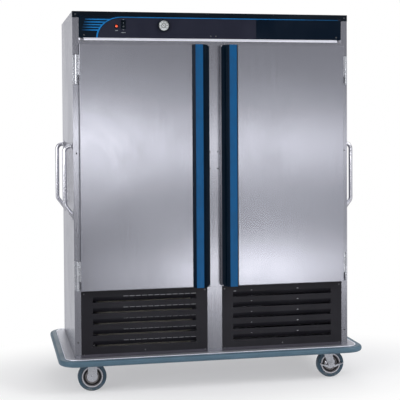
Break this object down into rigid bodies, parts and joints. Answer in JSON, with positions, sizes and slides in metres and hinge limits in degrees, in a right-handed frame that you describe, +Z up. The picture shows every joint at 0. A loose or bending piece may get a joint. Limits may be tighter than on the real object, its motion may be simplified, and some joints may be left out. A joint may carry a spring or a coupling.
{
  "type": "enclosed meal tray cart",
  "caption": "Tall insulated two-door meal tray cart with a control strip, louvred machine bay, bumper deck, side push handles and rigid and swivel casters.",
  "frame": {"origin": "on the floor below the centre of the cart", "axes": "+Z up, +X to the right seen from the front, the doors face -Y"},
  "size_m": [1.67, 0.906, 2.003],
  "materials": {
    "cabinet_steel": "satin stainless sheet",
    "door_steel": "satin stainless sheet",
    "inner_steel": "satin stainless liner",
    "plated_steel": "bright zinc plate",
    "handle_steel": "polished stainless tube",
    "gauge_steel": "polished bezel",
    "unit_steel": "dark painted steel",
    "compressor_paint": "satin black paint",
    "coil_fins": "bare fins",
    "fan_alloy": "pressed alloy",
    "bumper_vinyl": "matt extruded vinyl",
    "foam": "rigid foam",
    "panel_film": "satin dark film",
    "trim_dark": "dark moulded strip",
    "pilot_lens": "red lens",
    "black_plastic": "moulded black",
    "dial_white": "printed white",
    "gauge_glass": "clear",
    "needle_black": "matt black",
    "grille_paint": "black powder coat",
    "gasket_vinyl": "soft vinyl",
    "grip_plastic": "navy black extrusion",
    "blue_strip": "blue extrusion",
    "wheel_core": "grey moulded core",
    "tyre_rubber": "dark teal rubber"
  },
  "bodies": {
    "root": {"deck": "cabinet_steel", "side_panel_left": "cabinet_steel", "side_panel_right": "cabinet_steel", "back_panel": "cabinet_steel", "top_panel": "cabinet_steel", "partitions": "cabinet_steel", "face_frame": "cabinet_steel", "liners": "inner_steel", "tray_racks": "inner_steel", "evaporator_covers": "inner_steel", "screws": "plated_steel", "hinge_frame_leaves": "plated_steel", "rigid_casters": "plated_steel", "swivel_plates": "plated_steel", "side_handles": "handle_steel", "bumper": "bumper_vinyl", "insulation": "foam", "face_panel": "panel_film", "top_trim": "trim_dark", "pilot_light": "pilot_lens", "switch_housing": "black_plastic", "thermometer_case": "gauge_steel", "thermometer_dial": "dial_white", "thermometer_glass": "gauge_glass", "grilles": "grille_paint", "condensing_unit_base": "unit_steel", "compressor": "compressor_paint", "condenser_coil": "coil_fins", "evaporator_coils": "coil_fins", "power_inlet": "black_plastic"},
    "door_left": {"door_left_liner": "inner_steel", "door_left_panel": "door_steel", "door_left_hinge_leaves": "plated_steel", "door_left_gasket": "gasket_vinyl", "door_left_handle": "grip_plastic", "door_left_insert": "blue_strip"},
    "door_right": {"door_right_liner": "inner_steel", "door_right_panel": "door_steel", "door_right_hinge_leaves": "plated_steel", "door_right_gasket": "gasket_vinyl", "door_right_handle": "grip_plastic", "door_right_insert": "blue_strip"},
    "wheel_rigid_front": {"wheel_rigid_front": "wheel_core", "tyre_rigid_front": "tyre_rubber"},
    "wheel_rigid_back": {"wheel_rigid_back": "wheel_core", "tyre_rigid_back": "tyre_rubber"},
    "wheel_swivel_front": {"wheel_swivel_front": "wheel_core", "tyre_swivel_front": "tyre_rubber"},
    "wheel_swivel_back": {"wheel_swivel_back": "wheel_core", "tyre_swivel_back": "tyre_rubber"},
    "fork_front": {"swivel_fork_front": "plated_steel"},
    "brake_front": {"brake_lever_front": "plated_steel"},
    "fork_back": {"swivel_fork_back": "plated_steel"},
    "brake_back": {"brake_lever_back": "plated_steel"},
    "switch_rocker": {"switch_rocker": "black_plastic"},
    "thermometer_needle": {"thermometer_needle": "needle_black"},
    "condenser_fan": {"condenser_fan": "fan_alloy"},
    "evaporator_fan_left": {"evaporator_fan_left": "fan_alloy"},
    "evaporator_fan_right": {"evaporator_fan_right": "fan_alloy"}
  },
  "joints": [
    {"name": "door_left_swing", "type": "hinge", "parent": "root", "child": "door_left", "pos_m": [-0.733, -0.4, 1.19], "axis": [0, 0, 1], "range_deg": [-180, 0]},
    {"name": "door_right_swing", "type": "hinge", "parent": "root", "child": "door_right", "pos_m": [0.733, -0.4, 1.19], "axis": [0, 0, 1], "range_deg": [0, 180]},
    {"name": "wheel_rigid_front_spin", "type": "hinge", "parent": "root", "child": "wheel_rigid_front", "pos_m": [-0.655, -0.305, 0.076], "axis": [0, 1, 0], "continuous": true},
    {"name": "fork_front_swivel", "type": "hinge", "parent": "root", "child": "fork_front", "pos_m": [0.643, -0.305, 0.17], "axis": [0, 0, 1], "continuous": true},
    {"name": "wheel_swivel_front_spin", "type": "hinge", "parent": "fork_front", "child": "wheel_swivel_front", "pos_m": [0.671, -0.305, 0.076], "axis": [0, 1, 0], "continuous": true},
    {"name": "brake_front_tilt", "type": "hinge", "parent": "fork_front", "child": "brake_front", "pos_m": [0.671, -0.305, 0.076], "axis": [0, 1, 0], "range_deg": [0, 18]},
    {"name": "wheel_rigid_back_spin", "type": "hinge", "parent": "root", "child": "wheel_rigid_back", "pos_m": [-0.655, 0.305, 0.076], "axis": [0, 1, 0], "continuous": true},
    {"name": "fork_back_swivel", "type": "hinge", "parent": "root", "child": "fork_back", "pos_m": [0.643, 0.305, 0.17], "axis": [0, 0, 1], "continuous": true},
    {"name": "wheel_swivel_back_spin", "type": "hinge", "parent": "fork_back", "child": "wheel_swivel_back", "pos_m": [0.671, 0.305, 0.076], "axis": [0, 1, 0], "continuous": true},
    {"name": "brake_back_tilt", "type": "hinge", "parent": "fork_back", "child": "brake_back", "pos_m": [0.671, 0.305, 0.076], "axis": [0, 1, 0], "range_deg": [0, 18]},
    {"name": "switch_rock", "type": "hinge", "parent": "root", "child": "switch_rocker", "pos_m": [-0.482, -0.369, 1.936], "axis": [1, 0, 0], "range_deg": [-16, 0]},
    {"name": "needle_turn", "type": "hinge", "parent": "root", "child": "thermometer_needle", "pos_m": [-0.268, -0.379, 1.933], "axis": [0, -1, 0], "range_deg": [-175, 95], "stiffness_Nm_per_rad": 0.0005},
    {"name": "condenser_fan_spin", "type": "hinge", "parent": "root", "child": "condenser_fan", "pos_m": [-0.375, -0.262, 0.342], "axis": [0, 1, 0], "continuous": true},
    {"name": "evaporator_fan_left_spin", "type": "hinge", "parent": "root", "child": "evaporator_fan_left", "pos_m": [-0.375, 0.079, 1.739], "axis": [0, 1, 0], "continuous": true},
    {"name": "evaporator_fan_right_spin", "type": "hinge", "parent": "root", "child": "evaporator_fan_right", "pos_m": [0.375, 0.079, 1.739], "axis": [0, 1, 0], "continuous": true}
  ]
}
